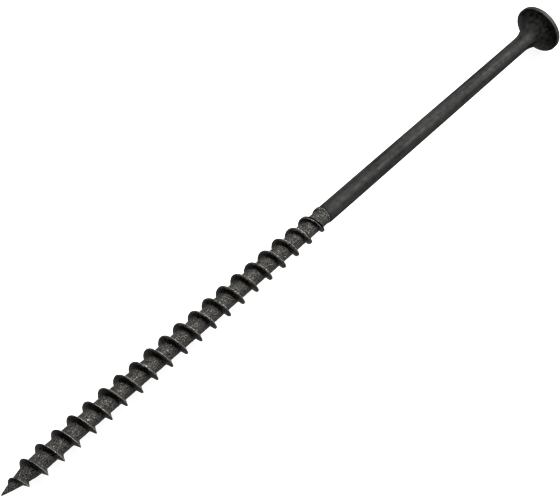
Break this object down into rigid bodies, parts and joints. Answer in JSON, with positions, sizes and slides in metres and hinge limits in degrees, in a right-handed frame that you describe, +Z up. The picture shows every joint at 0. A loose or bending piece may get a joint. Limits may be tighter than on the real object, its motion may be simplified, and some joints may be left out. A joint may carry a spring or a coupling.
{
  "type": "drywall screw",
  "caption": "Long drywall screw in black phosphated steel: sharp point, coarse right-hand thread, smooth shank and bugle head with a cross recess, lying on its side.",
  "frame": {"origin": "on the table under the middle of the screw's length", "axes": "+X along the screw, from the point to the head; +Z up from the table that it lies on; +Y to its left, seen along +X"},
  "size_m": [0.1272, 0.0088, 0.0089],
  "materials": {
    "black_phosphated_steel": "matte black phosphate on carbon steel, fine grained, with a faint oily sheen"
  },
  "bodies": {
    "root": {"screw": "black_phosphated_steel"}
  },
  "joints": []
}
